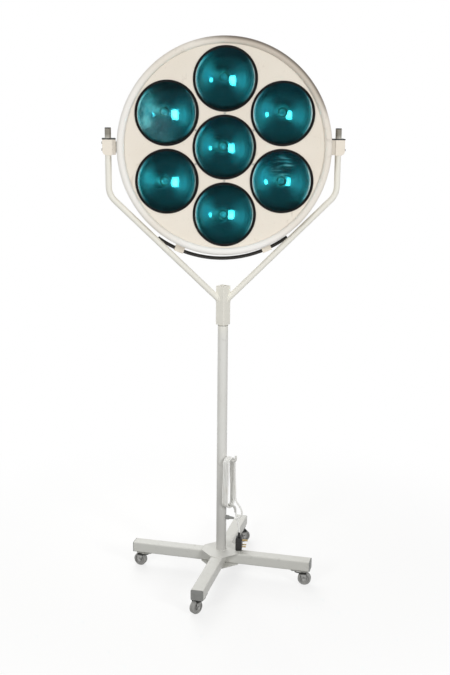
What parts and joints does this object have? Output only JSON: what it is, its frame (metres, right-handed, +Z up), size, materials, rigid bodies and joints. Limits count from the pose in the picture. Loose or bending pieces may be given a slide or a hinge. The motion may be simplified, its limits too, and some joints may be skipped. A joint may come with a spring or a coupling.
{
  "type": "surgical lamp",
  "caption": "Floor-standing surgical lamp: round multi-lens head tilting in a wide yoke on a mast, with a cross-shaped caster base, hand rail and plug cord.",
  "frame": {"origin": "on the floor at the mast's axis", "axes": "+Z up along the mast, -Y along the front leg, +X along the right leg"},
  "size_m": [0.8224, 0.7, 2.0113],
  "materials": {
    "ivory_paint": "satin",
    "grey_cream_paint": "satin",
    "rim_paint": "gloss",
    "shell_paint": "satin",
    "black_paint": "gloss",
    "cast_iron": "rough",
    "zinc_steel": "satin",
    "fork_steel": "satin",
    "wheel_rubber": "matte",
    "gasket_rubber": "matte",
    "nylon": "matte",
    "black_plastic": "matte",
    "grey_plastic": "matte",
    "cord_white": "satin",
    "ceramic_holder": "gloss",
    "teal_glass": "polished",
    "clear_glass": "polished",
    "reflector_mirror": "polished",
    "brass": "polished"
  },
  "bodies": {
    "base": {"leg_front": "grey_cream_paint", "leg_right": "grey_cream_paint", "leg_back": "grey_cream_paint", "leg_left": "grey_cream_paint", "leg_end_caps": "grey_plastic", "hub_block": "cast_iron", "hub_plate_top": "grey_cream_paint", "hub_plate_bottom": "grey_cream_paint", "mast_tube": "ivory_paint", "mast_foot": "zinc_steel", "mast_bolt": "zinc_steel", "mast_spindle": "zinc_steel", "spindle_nut": "zinc_steel", "thrust_washer": "nylon", "caster_plates": "zinc_steel", "caster_screws": "zinc_steel", "cord_hooks": "ivory_paint", "cord_gland": "grey_plastic", "cord_boot": "grey_plastic", "cord_lead": "cord_white", "cord_hank": "cord_white", "cord_tail": "cord_white", "plug_boot": "black_plastic", "plug_body": "black_plastic", "plug_pins": "brass"},
    "yoke": {"yoke_socket": "ivory_paint", "socket_bushes": "nylon", "yoke_arm_left": "ivory_paint", "yoke_arm_right": "ivory_paint", "yoke_tube_caps": "black_plastic", "pivot_block_left": "ivory_paint", "pivot_block_right": "ivory_paint", "pivot_bearings": "ivory_paint", "pivot_top_plates": "black_plastic", "pivot_screws": "zinc_steel", "friction_washers": "nylon"},
    "head": {"front_plate": "ivory_paint", "rim": "rim_paint", "back_shell": "shell_paint", "lenses": "teal_glass", "gaskets": "gasket_rubber", "reflectors": "reflector_mirror", "bulbs": "clear_glass", "lampholders": "ceramic_holder", "lens_screws": "zinc_steel", "pivot_shafts": "zinc_steel", "shaft_pads": "zinc_steel", "hand_rail": "black_paint", "rail_brackets": "ivory_paint", "switch_body": "black_plastic", "terminal_block": "nylon"},
    "rocker": {"switch_rocker": "black_plastic"},
    "fork_right": {"caster_fork_right": "fork_steel"},
    "wheel_right": {"caster_wheel_right": "wheel_rubber"},
    "fork_back": {"caster_fork_back": "fork_steel"},
    "wheel_back": {"caster_wheel_back": "wheel_rubber"},
    "fork_left": {"caster_fork_left": "fork_steel"},
    "wheel_left": {"caster_wheel_left": "wheel_rubber"},
    "fork_front": {"caster_fork_front": "fork_steel"},
    "wheel_front": {"caster_wheel_front": "wheel_rubber"}
  },
  "joints": [
    {"name": "swivel_right", "type": "hinge", "parent": "base", "child": "fork_right", "pos_m": [0.307, 0, 0.0537], "axis": [0, 0, 1], "continuous": true},
    {"name": "spin_right", "type": "hinge", "parent": "fork_right", "child": "wheel_right", "pos_m": [0.32692, 0.00174, 0.025], "axis": [-0.0872, 0.9962, 0], "continuous": true},
    {"name": "swivel_back", "type": "hinge", "parent": "base", "child": "fork_back", "pos_m": [0, 0.307, 0.0537], "axis": [0, 0, 1], "continuous": true},
    {"name": "spin_back", "type": "hinge", "parent": "fork_back", "child": "wheel_back", "pos_m": [0.01638, 0.31847, 0.025], "axis": [-0.5736, 0.8192, 0], "continuous": true},
    {"name": "swivel_left", "type": "hinge", "parent": "base", "child": "fork_left", "pos_m": [-0.307, 0, 0.0537], "axis": [0, 0, 1], "continuous": true},
    {"name": "spin_left", "type": "hinge", "parent": "fork_left", "child": "wheel_left", "pos_m": [-0.32681, 0.00278, 0.025], "axis": [-0.1392, -0.9903, 0], "continuous": true},
    {"name": "swivel_front", "type": "hinge", "parent": "base", "child": "fork_front", "pos_m": [0, -0.307, 0.0537], "axis": [0, 0, 1], "continuous": true},
    {"name": "spin_front", "type": "hinge", "parent": "fork_front", "child": "wheel_front", "pos_m": [-0.01, -0.32432, 0.025], "axis": [0.866, -0.5, 0], "continuous": true},
    {"name": "yoke_swivel", "type": "hinge", "parent": "base", "child": "yoke", "pos_m": [0, 0, 0.995], "axis": [0, 0, 1], "range_deg": [-170, 170]},
    {"name": "head_tilt", "type": "hinge", "parent": "yoke", "child": "head", "pos_m": [0, 0, 1.6333], "axis": [0.9397, 0.342, 0], "range_deg": [0, 120]},
    {"name": "switch_tip", "type": "hinge", "parent": "head", "child": "rocker", "pos_m": [-0.03677, 0.10102, 1.4033], "axis": [0.9397, 0.342, 0], "range_deg": [-8, 8]}
  ]
}
